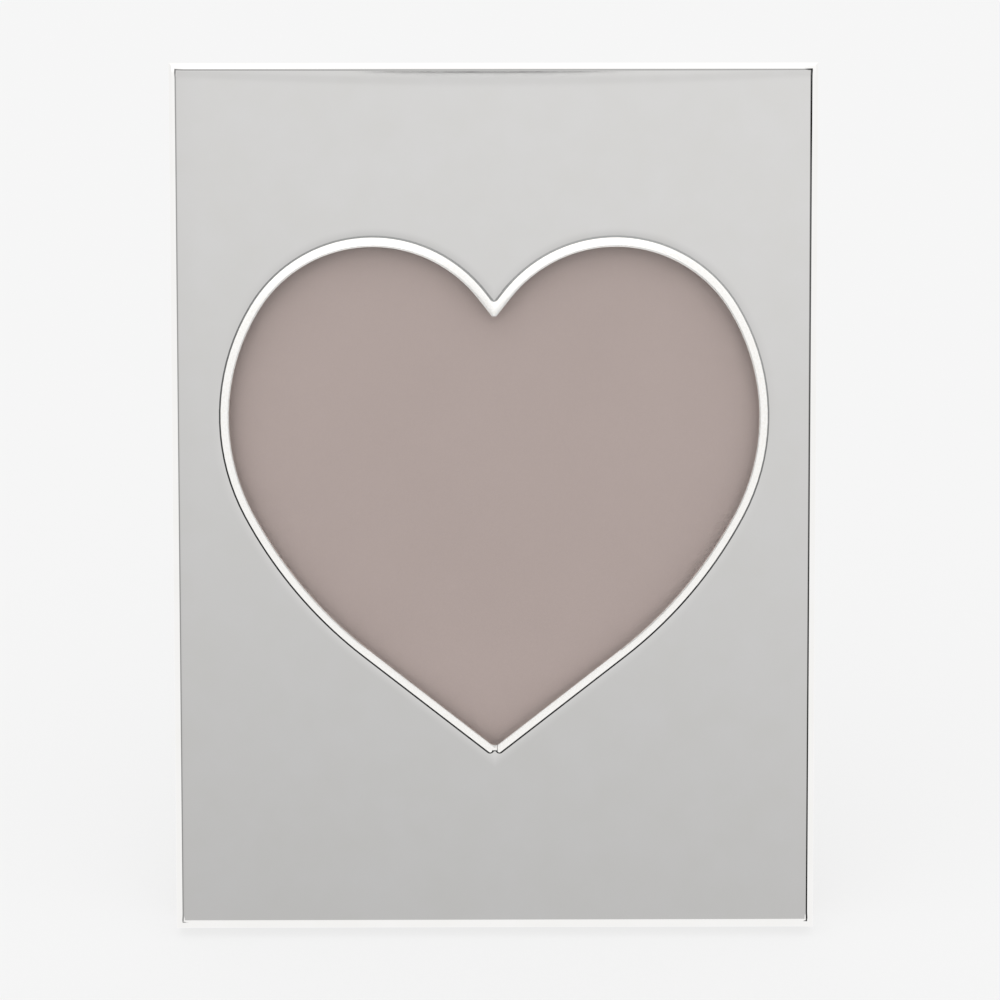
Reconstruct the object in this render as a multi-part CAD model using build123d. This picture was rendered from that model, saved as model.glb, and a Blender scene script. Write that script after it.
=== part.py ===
from build123d import *
import os
from math import cos, radians, sin, tan

os.makedirs("parts", exist_ok=True)

# A free-standing picture frame for a 127 x 178 mm print, seen through a heart shaped opening.
# It is drawn upright, with the face on y = 0 looking along -Y, the left and right halves alike
# about x = 0 and the bottom edge on z = 0. At the end everything leans back onto its strut.

# Print and what lies behind the face
print_width = 127.0
print_height = 178.0
print_thickness = 0.5
glass_thickness = 2.0
spacer_thickness = 3.2
board_thickness = 3.2
cover_thickness = 0.7
pane_play = 0.5

# Core rails and plated sheet
side_rail_width = 10.2
end_rail_width = 10.7
sheet = 0.8
edge_roll = 1.8
rear_lip = 0.6

# Heart opening and the strip round it
pane_cover = 0.9
heart_raise = 0.36
trim_lap = 0.8
trim_width = 2.4
trim_proud = 2.0
trim_edge = 0.45
trim_play = 0.05

# Strip seam at the bottom point
seam_gap = 0.12
seam_offset = 0.6
seam_notch_width = 1.9
seam_notch_height = 2.0
seam_foot_radius = 0.45

# Heart outline: a short line out of the notch, three arcs and a straight lower side, each arc
# running on from the one before. Radii and the line are shares of the heart's width.
notch_angle = 51.6
lobe_angle = 110.1
side_angle = 59.3
flank_angle = 24.3
notch_run_share = 0.0294
lobe_radius_share = 0.2594
side_radius_share = 0.3883
flank_radius_share = 0.7978

# Standing pose, in degrees
lean_angle = 12.0
rake_angle = 11.0

# Strut
hinge_height = 124.0
strut_top_width = 38.0
strut_foot_width = 58.0
strut_thickness = 3.0
strut_cover_thickness = 0.5
strut_corner = 4.0
strut_top_gap = 0.5

# Strut hinge
hinge_width = 32.0
hinge_middle_width = 12.0
hinge_sheet = 0.8
hinge_pin_radius = 1.0
hinge_pin_play = 0.05
hinge_side_gap = 0.3
hinge_lift = 0.3
board_leaf_height = 17.0
strut_leaf_height = 21.0
leaf_corner = 2.5
pin_head_radius = 1.5
pin_head_length = 0.6
stop_length = 9.0
stop_width = 9.0
stop_gap = 0.1

# Rivets
rivet_radius = 1.5
rivet_head_radius = 2.7
rivet_head_height = 0.8
rivet_head_round = 0.5
rivet_side_share = 0.28
rivet_height_share = 0.62

# Turn buttons and their screws
button_sheet = 0.9
button_width = 8.0
button_length = 12.0
button_lift = 0.1
button_rib_width = 2.4
button_rib_height = 0.4
button_rib_round = 0.3
button_rib_start = 4.6
button_edge = 0.25
button_height_shares = (0.25, 0.75)
screw_radius = 1.3
screw_play = 0.05
screw_head_radius = 2.7
screw_head_height = 1.3
screw_head_round = 0.7
screw_head_gap = 0.05
screw_depth = 7.0
screw_point = 1.0
screw_slot_width = 0.6
screw_slot_length = 3.2
screw_slot_depth = 0.6

# Corner nails
nail_leg = 5.0
nail_sheet = 0.5
nail_depth = 6.5
nail_margin = 3.0

# How much wider the seat of each nail, screw and rivet is than the fastener, all round
seat_play = 0.02

# How far a cutting body runs past what it cuts
overrun = 5.0

# Sizes worked out from the ones above
pane_stack = glass_thickness + print_thickness + spacer_thickness + board_thickness + cover_thickness
rear_plane = sheet + pane_stack
frame_depth = rear_plane + rear_lip
opening_width = print_width + 2 * pane_play
opening_height = print_height + 2 * pane_play
core_width = opening_width + 2 * side_rail_width
core_height = opening_height + 2 * end_rail_width
frame_width = core_width + 2 * sheet
frame_height = core_height + 2 * sheet
middle_height = frame_height / 2
heart_width = print_width - 2 * pane_cover + 2 * trim_lap
tip_angle = 180 + notch_angle - lobe_angle - side_angle - flank_angle
knuckle_radius = hinge_pin_radius + hinge_pin_play + hinge_sheet
pin_depth = rear_plane + knuckle_radius
open_angle = lean_angle + rake_angle


def rectangle(left, right, low, high):
    """A face in the upright plane, between two X and two Z places."""
    middle = Pos((left + right) / 2, (low + high) / 2)
    return Plane.XZ * middle * Rectangle(abs(right - left), abs(high - low))


def slab(face, front, back):
    """A face of the upright plane, made solid from one depth to another."""
    return extrude(Pos(0, back, 0) * face, amount=back - front)


def centred_block(width, front, back, low, high):
    return slab(rectangle(-width / 2, width / 2, low, high), front, back)


def rod(radius, front, back, across=0.0, height=0.0):
    """A round bar along Y."""
    return slab(Plane.XZ * Pos(across, height) * Circle(radius), front, back)


def cross_rod(radius, left, right):
    """A round bar along X, on the hinge's axis."""
    bar = Plane.YZ * Circle(radius)
    return Pos(left, pin_depth, hinge_height) * extrude(bar, amount=right - left)


# Heart outline


def heart_half(inset):
    """The right half of the outline, moved inwards by inset, with the notch of the uncut one at 0."""
    start = (0, -inset / cos(radians(notch_angle)))
    run = heart_width * notch_run_share + inset * tan(radians(notch_angle))
    heading = (cos(radians(notch_angle)), sin(radians(notch_angle)))
    line = Line(start, (start[0] + run * heading[0], start[1] + run * heading[1]))
    lobe = JernArc(line @ 1, line % 1, heart_width * lobe_radius_share - inset, -lobe_angle)
    side = JernArc(lobe @ 1, lobe % 1, heart_width * side_radius_share - inset, -side_angle)
    flank = JernArc(side @ 1, side % 1, heart_width * flank_radius_share - inset, -flank_angle)
    end = flank @ 1
    lower = Line(end, (0, end.Y - end.X * tan(radians(tip_angle))))
    return [line, lobe, side, flank, lower]


def flat_heart(inset):
    half = Curve() + heart_half(inset)
    return make_face([*half.edges(), *mirror(half, about=Plane.YZ).edges()])


heart_box = flat_heart(0).bounding_box()
heart_rise = middle_height + heart_raise - (heart_box.min.Y + heart_box.max.Y) / 2
heart_tip = heart_box.min.Y + heart_rise


def heart(inset):
    """The heart's face in the upright plane, a little above the middle of the frame."""
    return Plane.XZ * Pos(0, heart_rise) * flat_heart(inset)


# Plated face and the strip round the heart


def make_face_plate():
    outer = centred_block(frame_width, 0, frame_depth, 0, frame_height)
    outer = fillet(outer.faces().sort_by(Axis.Y)[0].edges(), edge_roll)
    inner = centred_block(core_width, sheet, frame_depth + overrun, sheet, frame_height - sheet)
    inner = fillet(inner.faces().sort_by(Axis.Y)[0].edges(), edge_roll - sheet)
    opening = slab(heart(trim_lap - trim_play), -overrun, sheet + overrun)
    return outer - inner - opening


def make_heart_trim():
    half_notch = seam_notch_width / 2
    notch_top = heart_tip + seam_notch_height
    band_face = heart(0) - rectangle(-half_notch, half_notch, heart_tip - overrun, notch_top)
    feet = [corner for corner in band_face.vertices() if corner.Z < (heart_tip + notch_top) / 2]
    band_face = fillet(feet, seam_foot_radius)
    band = slab(band_face - heart(trim_width), -trim_proud, 0)
    front_edges = band.faces().sort_by(Axis.Y)[0].edges()
    band = fillet(front_edges, trim_edge)
    neck = slab(heart(trim_lap) - heart(trim_width), 0, sheet)
    seam_left = seam_offset - seam_gap / 2
    seam_right = seam_offset + seam_gap / 2
    seam = rectangle(seam_left, seam_right, heart_tip - overrun, middle_height)
    return band + neck - slab(seam, -trim_proud - overrun, sheet + overrun)


# Core


def make_core():
    """The four mitred rails, in one dictionary by node name."""
    core = centred_block(core_width, sheet, rear_plane, sheet, sheet + core_height)
    core = chamfer(core.faces().sort_by(Axis.Y)[0].edges(), edge_roll - sheet)
    outer_x = core_width / 2
    inner_x = opening_width / 2
    outer_low = sheet
    outer_high = sheet + core_height
    inner_low = outer_low + end_rail_width
    inner_high = outer_high - end_rail_width
    outer = [(-outer_x, outer_low), (outer_x, outer_low), (outer_x, outer_high), (-outer_x, outer_high)]
    inner = [(-inner_x, inner_low), (inner_x, inner_low), (inner_x, inner_high), (-inner_x, inner_high)]
    outlines = {
        "rail_bottom": [outer[0], outer[1], inner[1], inner[0]],
        "rail_right": [outer[1], outer[2], inner[2], inner[1]],
        "rail_top": [outer[2], outer[3], inner[3], inner[2]],
        "rail_left": [outer[3], outer[0], inner[0], inner[3]],
    }
    rails = {}
    for name, points in outlines.items():
        outline = Plane.XZ * make_face(Polyline(*points, close=True))
        rails[name] = core & slab(outline, sheet, rear_plane)
    return rails


def make_wafer(across, up, play=0.0):
    """The V-shaped wafer across one mitre, pressed in from behind, its point towards the corner."""
    middle_x = core_width / 2 - nail_margin
    middle_z = core_height / 2 - nail_margin
    outer_x = across * (middle_x + play)
    thin_x = across * (middle_x - nail_sheet - play)
    inner_x = across * (middle_x - nail_leg - play)
    outer_z = middle_height + up * (middle_z + play)
    thin_z = middle_height + up * (middle_z - nail_sheet - play)
    inner_z = middle_height + up * (middle_z - nail_leg - play)
    level_leg = rectangle(inner_x, outer_x, thin_z, outer_z)
    upright_leg = rectangle(thin_x, outer_x, inner_z, outer_z)
    return slab(level_leg + upright_leg, rear_plane - nail_depth - play, rear_plane)


nail_corners = [(across, up) for across in (-1, 1) for up in (-1, 1)]


# Panes and boards behind the opening


def make_panes():
    """Everything that lies in the rebate, from the glass back, in one dictionary by node name."""
    low = middle_height - print_height / 2
    high = middle_height + print_height / 2
    layers = {
        "glass_pane": glass_thickness,
        "print_insert": print_thickness,
        "spacer_card": spacer_thickness,
        "back_board": board_thickness,
        "back_cover": cover_thickness,
    }
    panes = {}
    front = sheet
    for name, thickness in layers.items():
        panes[name] = centred_block(print_width, front, front + thickness, low, high)
        front += thickness
    return panes


# Turn buttons


def make_turn_button():
    """One button with its pivot at 0 and its underside at depth 0, reaching towards -X."""
    outline = Plane.XZ * Pos(-button_length / 2, 0) * SlotCenterToCenter(button_length, button_width)
    plate = slab(outline, 0, button_sheet)
    plate = fillet(plate.faces().sort_by(Axis.Y)[-1].edges(), button_edge)
    rib_run = button_length - button_rib_start
    rib_middle = -(button_length + button_rib_start) / 2
    rib_face = Plane.XZ * Pos(rib_middle, 0) * SlotCenterToCenter(rib_run, button_rib_width)
    rib = slab(rib_face, 0, button_sheet + button_rib_height)
    rib = fillet(rib.faces().sort_by(Axis.Y)[-1].edges(), button_rib_round)
    hole = rod(screw_radius + screw_play, -overrun, button_sheet + overrun)
    return plate + rib - hole


def make_screw():
    """One cross-slotted screw on the same pivot, its head just clear of the button."""
    seat = button_sheet + screw_head_gap
    head = rod(screw_head_radius, seat, seat + screw_head_height)
    head = fillet(head.faces().sort_by(Axis.Y)[-1].edges(), screw_head_round)
    slot_bottom = seat + screw_head_height - screw_slot_depth
    slot_top = slot_bottom + screw_slot_depth + overrun
    half_slot = screw_slot_width / 2
    cross = centred_block(screw_slot_length, slot_bottom, slot_top, -half_slot, half_slot)
    shank = rod(screw_radius, -button_lift - screw_depth, seat)
    shank = chamfer(shank.faces().sort_by(Axis.Y)[0].edges(), screw_point)
    return head + shank - cross - Rot(Y=90) * cross


button_across = opening_width / 2 + side_rail_width / 2
button_places = {
    "turn_button_lower_left": (-button_across, frame_height * button_height_shares[0]),
    "turn_button_upper_left": (-button_across, frame_height * button_height_shares[1]),
    "turn_button_lower_right": (button_across, frame_height * button_height_shares[0]),
    "turn_button_upper_right": (button_across, frame_height * button_height_shares[1]),
}


def make_buttons():
    """The buttons by node name, each reaching inwards over the back, and the list of their screws."""
    button = make_turn_button()
    screw = make_screw()
    buttons = {}
    screws = []
    for name, (across, height) in button_places.items():
        pivot = Pos(across, rear_plane + button_lift, height)
        buttons[name] = pivot * Rot(Y=0 if across > 0 else 180) * button
        screws.append(pivot * screw)
    return buttons, screws


# Strut hinge, drawn with the strut folded flat against the back


def turn_on_pin(shape, turn):
    return shape.rotate(Axis((0, pin_depth, hinge_height), (1, 0, 0)), turn)


pin_bore = cross_rod(hinge_pin_radius + hinge_pin_play, -hinge_width, hinge_width)


def leaf_plate(front, low, high, rounded_z):
    """A plain leaf with the two corners at rounded_z rounded off."""
    plate = centred_block(hinge_width, front, front + hinge_sheet, low, high)
    upright_edges = plate.edges().filter_by(Axis.Y)
    corners = [edge for edge in upright_edges if abs(edge.center().Z - rounded_z) < leaf_corner]
    return fillet(corners, leaf_corner)


def make_board_leaf():
    """The leaf on the back, with the two outer knuckles."""
    top = hinge_height + board_leaf_height
    plate = leaf_plate(rear_plane, hinge_height, top, top)
    cleared = hinge_middle_width + 2 * hinge_side_gap
    notch_low = hinge_height - overrun
    notch_top = hinge_height + knuckle_radius + hinge_side_gap
    notch = centred_block(cleared, rear_plane - overrun, rear_plane + overrun, notch_low, notch_top)
    left_knuckle = cross_rod(knuckle_radius, -hinge_width / 2, -cleared / 2)
    right_knuckle = cross_rod(knuckle_radius, cleared / 2, hinge_width / 2)
    return plate - notch + left_knuckle + right_knuckle - pin_bore


def make_strut_leaf():
    """The leaf on the strut, with the middle knuckle and the finger that stops the strut."""
    front = rear_plane + hinge_lift
    low = hinge_height - strut_leaf_height
    plate = leaf_plate(front, low, hinge_height, low)
    clear_low = hinge_height - knuckle_radius - hinge_side_gap
    side_x = hinge_middle_width / 2
    for left, right in ((-hinge_width, -side_x), (side_x, hinge_width)):
        corner = rectangle(left, right, clear_low, hinge_height + overrun)
        plate -= slab(corner, front - overrun, front + overrun)
    knuckle = cross_rod(knuckle_radius, -side_x, side_x)
    stop_front = rear_plane + hinge_sheet + stop_gap
    stop_top = hinge_height + stop_length
    finger = centred_block(stop_width, stop_front, stop_front + hinge_sheet, hinge_height, stop_top)
    return plate + knuckle + turn_on_pin(finger, -open_angle) - pin_bore


def make_hinge_pin():
    half = hinge_width / 2
    pin = cross_rod(hinge_pin_radius, -half - pin_head_length, half + pin_head_length)
    left_head = cross_rod(pin_head_radius, -half - pin_head_length, -half)
    right_head = cross_rod(pin_head_radius, half, half + pin_head_length)
    return pin + left_head + right_head


rivet_places = (-hinge_width * rivet_side_share, hinge_width * rivet_side_share)


def make_rivets(front, head_seat, height):
    """A pair of round-headed rivets, from their front end to the head's seat."""
    rivets = []
    for across in rivet_places:
        head = rod(rivet_head_radius, head_seat, head_seat + rivet_head_height, across, height)
        head = fillet(head.faces().sort_by(Axis.Y)[-1].edges(), rivet_head_round)
        rivets.append(head + rod(rivet_radius, front, head_seat, across, height))
    return rivets


def rivet_holes(front, back, height):
    return [rod(rivet_radius + seat_play, front, back, across, height) for across in rivet_places]


# Strut, folded flat like its hinge

strut_front = rear_plane + hinge_lift + hinge_sheet
strut_rear = strut_front + strut_thickness + 2 * strut_cover_thickness
strut_top = hinge_height - knuckle_radius - strut_top_gap
pin_rise = hinge_height * cos(radians(lean_angle)) - (pin_depth - frame_depth) * sin(radians(lean_angle))
strut_reach = pin_rise / cos(radians(rake_angle)) + overrun


def strut_outline(inset):
    """The tapered outline in the upright plane, moved inwards by inset, its top corners rounded."""
    top = strut_top - inset
    foot = hinge_height - strut_reach
    half_top = strut_top_width / 2 - inset
    half_foot = strut_foot_width / 2 - inset
    points = [(-half_top, top), (half_top, top), (half_foot, foot), (-half_foot, foot)]
    outline = Plane.XZ * make_face(Polyline(*points, close=True))
    return fillet(outline.vertices().sort_by(Axis.Z)[-2:], strut_corner - inset)


def make_strut():
    """The strut board and the flocked sleeve round it."""
    outside = slab(strut_outline(0), strut_front, strut_rear)
    board_front = strut_front + strut_cover_thickness
    board = slab(strut_outline(strut_cover_thickness), board_front, board_front + strut_thickness)
    return board, outside - board


# The whole frame, drawn upright with the strut folded

rails = make_core()
panes = make_panes()
buttons, screws = make_buttons()
board_leaf = make_board_leaf()
strut_leaf = make_strut_leaf()
strut_board, strut_cover = make_strut()

board_rivet_height = hinge_height + board_leaf_height * rivet_height_share
board_rivet_front = rear_plane - cover_thickness - board_thickness
board_rivet_seat = rear_plane + hinge_sheet
board_rivets = make_rivets(board_rivet_front, board_rivet_seat, board_rivet_height)
for hole in rivet_holes(board_rivet_front, board_rivet_seat, board_rivet_height):
    panes["back_board"] -= hole
    panes["back_cover"] -= hole
    board_leaf -= hole

strut_rivet_height = hinge_height - strut_leaf_height * rivet_height_share
strut_rivet_front = rear_plane + hinge_lift
strut_rivets = make_rivets(strut_rivet_front, strut_rear, strut_rivet_height)
for hole in rivet_holes(strut_rivet_front, strut_rear, strut_rivet_height):
    strut_leaf -= hole
    strut_board -= hole
    strut_cover -= hole

screw_bottom = rear_plane - screw_depth - seat_play
seats = [make_wafer(across, up, seat_play) for across, up in nail_corners]
for across, height in button_places.values():
    seats.append(rod(screw_radius + seat_play, screw_bottom, rear_plane, across, height))
for name in rails:
    for seat in seats:
        rails[name] -= seat

framed = {
    "face_plate": make_face_plate(),
    "heart_trim": make_heart_trim(),
    **rails,
    "corner_nails": Compound([make_wafer(across, up) for across, up in nail_corners]),
    **panes,
    **buttons,
    "turn_button_screws": Compound(screws),
    "hinge_board_leaf": board_leaf,
    "hinge_pin": make_hinge_pin(),
    "hinge_board_rivets": Compound(board_rivets),
}
folding = {
    "hinge_strut_leaf": strut_leaf,
    "hinge_strut_rivets": Compound(strut_rivets),
    "strut_board": strut_board,
    "strut_cover": strut_cover,
}

# Standing: the frame leans back on its rear bottom edge, and the strut is open against its stop

rise = frame_depth * sin(radians(lean_angle))
leaning = Pos(0, 0, rise) * Rot(X=-lean_angle)
floor_size = 2 * frame_height
floor = Pos(0, 0, -floor_size / 2) * Box(floor_size, floor_size, floor_size)
pieces = {name: leaning * shape for name, shape in framed.items()}
for name, shape in folding.items():
    pieces[name] = leaning * turn_on_pin(shape, open_angle)
for name in ("strut_board", "strut_cover"):
    pieces[name] -= floor

# The origin is under the middle of the standing frame
front_end = pieces["face_plate"].bounding_box().min.Y
rear_end = pieces["strut_cover"].bounding_box().max.Y
centring = Pos(0, -(front_end + rear_end) / 2, 0)
for name, shape in pieces.items():
    export_step(centring * shape, f"parts/{name}.step")
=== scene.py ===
import math
from collections import Counter

import bpy
from mathutils import Matrix, Vector


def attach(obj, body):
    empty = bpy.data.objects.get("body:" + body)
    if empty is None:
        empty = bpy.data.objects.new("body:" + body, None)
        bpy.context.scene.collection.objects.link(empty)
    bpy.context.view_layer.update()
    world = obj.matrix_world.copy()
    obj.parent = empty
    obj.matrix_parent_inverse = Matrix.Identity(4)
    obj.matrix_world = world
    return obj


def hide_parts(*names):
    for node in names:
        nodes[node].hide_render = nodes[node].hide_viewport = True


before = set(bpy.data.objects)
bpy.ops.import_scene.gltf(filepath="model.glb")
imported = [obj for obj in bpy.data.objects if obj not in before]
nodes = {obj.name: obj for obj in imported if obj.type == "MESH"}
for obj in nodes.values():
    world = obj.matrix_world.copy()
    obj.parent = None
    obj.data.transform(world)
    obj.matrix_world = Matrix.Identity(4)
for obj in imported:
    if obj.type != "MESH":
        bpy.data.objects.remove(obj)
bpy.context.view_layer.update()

# A leaning picture frame: a mirror-plated face, a silver strip bent round a heart opening, a print
# behind glass and a flocked back with a strut. Everything is in metres. New pieces are modelled
# upright, with the face on y = 0, the bottom edge on z = 0 and the halves alike about x = 0, and
# are then leaned back as the frame is.

stand = {
    "lean": 12.0,  # degrees
    "strutOpen": 23.0,
    "pinDepth": 0.01225,  # the hinge pin, in the upright frame
    "pinHeight": 0.124,
    "shift": -0.0324663,
    "rise": 0.0022870,
}
leanTurn = Matrix.Rotation(math.radians(-stand["lean"]), 4, "X")
leaning = Matrix.Translation((0, stand["shift"], stand["rise"])) @ leanTurn
pinPlace = Matrix.Translation((0, stand["pinDepth"], stand["pinHeight"]))
strutTurn = Matrix.Rotation(math.radians(stand["strutOpen"]), 4, "X")
opened = leaning @ pinPlace @ strutTurn @ pinPlace.inverted()


# Tools

near = 1e-6  # places closer together than this are the same place


def linear(hexColour):
    channels = [int(hexColour[i:i + 2], 16) / 255 for i in (1, 3, 5)]
    return (*[c / 12.92 if c <= 0.04045 else ((c + 0.055) / 1.055) ** 2.4 for c in channels], 1)


def addNode(tree, kind, settings=None, **links):
    # settings go on the node, "stops" on its ramp; links are values or other nodes' outputs, each
    # named as its socket is, or by the socket's number as in i1
    node = tree.nodes.new(kind)
    for name, value in (settings or {}).items():
        if name == "stops":
            for i, (place, shade) in enumerate(value):
                stop = node.color_ramp.elements[i] if i < 2 else node.color_ramp.elements.new(place)
                stop.position = place
                stop.color = linear(shade) if isinstance(shade, str) else (shade, shade, shade, 1)
        else:
            setattr(node, name, value)
    for name, value in links.items():
        socket = node.inputs[int(name[1:]) if name[1:].isdigit() else name.replace("_", " ")]
        if isinstance(value, bpy.types.NodeSocket):
            tree.links.new(value, socket)
        else:
            socket.default_value = value
    return node


def newMaterial(name, **values):
    # one Principled shader, with what is the same all over set on its own sockets
    material = bpy.data.materials.new(name)
    material.use_nodes = True
    shader = material.node_tree.nodes["Principled BSDF"]
    for socket, value in values.items():
        value = linear(value) if isinstance(value, str) else value
        shader.inputs[socket.replace("_", " ")].default_value = value
    return material, material.node_tree, shader


def only(piece):
    bpy.ops.object.select_all(action="DESELECT")
    piece.select_set(True)
    bpy.context.view_layer.objects.active = piece


def pick(piece, kind, test):
    # goes into edit mode with the vertices, edges or faces selected that pass the test
    only(piece)
    mesh = piece.data
    for parts in (mesh.vertices, mesh.edges, mesh.polygons):
        parts.foreach_set("select", [False] * len(parts))
    for part in {"VERT": mesh.vertices, "EDGE": mesh.edges, "FACE": mesh.polygons}[kind]:
        part.select = bool(test(part))
    bpy.ops.object.mode_set(mode="EDIT")
    bpy.ops.mesh.select_mode(type=kind)


def leave():
    bpy.ops.object.mode_set(mode="OBJECT")


def everything(part):
    return True


def ends(piece, edge):
    return [piece.data.vertices[i].co for i in edge.vertices]


def depthOf(piece, edge):
    # how far an edge runs from front to back
    first, last = ends(piece, edge)
    return abs(first.y - last.y)


def openEdges(piece):
    # the edges that fewer than two faces share
    uses = Counter(key for face in piece.data.polygons for key in face.edge_keys)
    return {edge.index for edge in piece.data.edges if uses[edge.key] < 2}


def applied(piece, kind, **values):
    only(piece)
    modifier = piece.modifiers.new(kind.title(), kind)
    for name, value in values.items():
        setattr(modifier, name, value)
    bpy.ops.object.modifier_apply(modifier=modifier.name)


def closeUp(piece, gap=near):
    # merges what lies together and turns every face outwards
    pick(piece, "VERT", everything)
    bpy.ops.mesh.remove_doubles(threshold=gap)
    bpy.ops.mesh.normals_make_consistent(inside=False)
    leave()


def block(low, high):
    # a box between two corners, with its size and place in its mesh
    bpy.ops.object.select_all(action="DESELECT")
    bpy.ops.mesh.primitive_cube_add(size=1, location=(Vector(low) + Vector(high)) / 2)
    box = bpy.context.object
    box.scale = Vector(high) - Vector(low)
    bpy.ops.object.transform_apply(location=True, rotation=True, scale=True)
    return box


def cut(piece, cutter):
    applied(piece, "BOOLEAN", object=cutter, operation="DIFFERENCE", solver="EXACT")
    bpy.data.objects.remove(cutter)


def settle(piece, name, material, place, body, smooth, replaced=()):
    # the finished piece: shaded smooth up to an angle in degrees, named, dressed, leaned back in
    # its mesh and set on its body
    only(piece)
    bpy.ops.object.shade_smooth_by_angle(angle=math.radians(smooth))
    piece.name = name
    piece.data.name = name
    piece.data.materials.clear()
    piece.data.materials.append(material)
    piece.matrix_world = place @ piece.matrix_world
    bpy.ops.object.transform_apply(location=True, rotation=True, scale=True)
    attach(piece, body)
    if replaced:
        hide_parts(*replaced)
    print("piece", name, "faces", len(piece.data.polygons), "open edges", len(openEdges(piece)))


# Camera, where the photograph was taken from: close in front, a little above square on

camera = {
    "place": (-0.0008, -0.4939, 0.2326),
    "aim": (0.0013, -0.0115, 0.1011),
    "roll": -0.029,  # degrees
    "lens": 77.38,  # millimetres
    "sensor": 36,
    "nearest": 0.01,
}
bpy.ops.object.camera_add()
eye = bpy.context.object
eye.name = "camera"
gaze = Vector(camera["aim"]) - Vector(camera["place"])
look = gaze.to_track_quat("-Z", "Y").to_matrix().to_4x4()
roll = Matrix.Rotation(math.radians(camera["roll"]), 4, "Z")
eye.matrix_world = Matrix.Translation(camera["place"]) @ look @ roll
eye.data.lens = camera["lens"]
eye.data.sensor_width = camera["sensor"]
eye.data.clip_start = camera["nearest"]
bpy.context.scene.camera = eye
print("camera set")


# Heart outline: a short line out of the notch, three arcs and a straight lower side

heart = {
    "width": 0.1268,
    "notchAngle": 51.6,  # degrees
    "notchRunShare": 0.0294,  # the short line, as a share of the width
    "arcs": ((0.2594, 110.1), (0.3883, 59.3), (0.7978, 24.3)),  # share of the width, degrees turned
    "arcPart": 60,  # degrees that one piece of the curve turns at most
    "middle": 0.10136,  # how high the heart's middle stands
    "gapHalf": 0.00062,  # half the small notch between the strip's two feet at the bottom point
    "gapHeight": 0.00156,
    "footRadius": 0.0005,
    "detail": 18,  # points on each piece of the curve
    "straight": 0.3,  # degrees; points that turn the line less than this are left out
}


def bend(knots, radius, degrees):
    # runs on from the last knot in a clockwise arc; a knot is its point, handles and heading
    parts = math.ceil(degrees / heart["arcPart"])
    step = math.radians(degrees) / parts
    reach = 4 / 3 * math.tan(step / 4) * radius
    for part in range(parts):
        point, heading = knots[-1][0], knots[-1][3]
        turned = heading - step
        centre = point + radius * Vector((math.sin(heading), -math.cos(heading)))
        end = centre - radius * Vector((math.sin(turned), -math.cos(turned)))
        knots[-1][2] = point + reach * Vector((math.cos(heading), math.sin(heading)))
        knots.append([end, end - reach * Vector((math.cos(turned), math.sin(turned))), end, turned])


def sharp(point, heading=0.0):
    return [point, point, point, heading]


def heartHalf(inset):
    # the right half, from the notch down to the bottom point, moved inwards by inset
    angle = math.radians(heart["notchAngle"])
    start = Vector((0, -inset / math.cos(angle)))
    run = heart["width"] * heart["notchRunShare"] + inset * math.tan(angle)
    runEnd = start + run * Vector((math.cos(angle), math.sin(angle)))
    knots = [sharp(start, angle), sharp(runEnd, angle)]
    for share, turn in heart["arcs"]:
        bend(knots, heart["width"] * share - inset, turn)
    last, heading = knots[-1][0], knots[-1][3]
    return knots + [sharp(Vector((0, last.y - last.x * math.tan(heading))), heading)]


bare = heartHalf(0)
lobeRadius = heart["width"] * heart["arcs"][0][0]
lobeTop = bare[1][0].y + lobeRadius * (1 - math.cos(bare[1][3]))
heartRise = heart["middle"] - (lobeTop + bare[-1][0].y) / 2
heartTip = bare[-1][0].y + heartRise
tipHeading = bare[-1][3]


def footEnd(inset):
    # from the lower side round one foot of the strip and up into the small notch
    radius = heart["footRadius"] - inset
    gap = heart["gapHalf"] + inset
    tip = heartHalf(inset)[-1][0]
    touch = gap + radius * (1 - math.sin(tipHeading))
    knots = [sharp(Vector((touch, tip.y + touch * math.tan(tipHeading))), tipHeading)]
    top = bare[-1][0].y + heart["gapHeight"] + inset
    centre = knots[0][0].y - radius * math.cos(tipHeading)
    # the notch's top can lie below the arc's end, which then stops short
    cutShort = math.asin(max(centre - top, 0) / radius)
    bend(knots, radius, math.degrees(tipHeading - cutShort) + 270)
    return knots if cutShort else knots + [sharp(Vector((gap, top)))]


def footedHalf(inset):
    return heartHalf(inset)[:-1] + footEnd(inset)


def loopOf(half, depth):
    # mirrors a half outline and makes it a closed loop of edges at a depth behind the face
    left = [[-point, -after, -before] for point, before, after in
            (tuple(Vector((v.x, -v.y)) for v in knot[:3]) for knot in reversed(half))]
    if half[-1][0].x < near:
        left = left[1:]
    if half[0][0].x < near:
        left = left[:-1]
    knots = [knot[:3] for knot in half] + left
    bpy.ops.object.select_all(action="DESELECT")
    bpy.ops.curve.primitive_bezier_curve_add()
    loop = bpy.context.object
    spline = loop.data.splines[0]
    spline.bezier_points.add(len(knots) - 2)
    for point, knot in zip(spline.bezier_points, knots):
        point.handle_left_type = point.handle_right_type = "FREE"
        places = [(v.x, depth, v.y + heartRise) for v in knot]
        point.co, point.handle_left, point.handle_right = places
    spline.use_cyclic_u = True
    spline.resolution_u = heart["detail"]
    bpy.ops.object.convert(target="MESH")
    loop = bpy.context.object
    pick(loop, "VERT", everything)
    bpy.ops.mesh.remove_doubles(threshold=near)
    bpy.ops.mesh.dissolve_limited(angle_limit=math.radians(heart["straight"]))
    leave()
    return loop


def fillForward(loop):
    # fills a loop with one face that looks forward, and stays in edit mode on it
    pick(loop, "VERT", everything)
    bpy.ops.mesh.edge_face_add()
    leave()
    backward = loop.data.polygons[0].normal.y > 0
    pick(loop, "FACE", everything)
    if backward:
        bpy.ops.mesh.flip_normals()


def push(depth):
    bpy.ops.mesh.extrude_region_move(TRANSFORM_OT_translate={"value": (0, depth, 0)})


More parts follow.
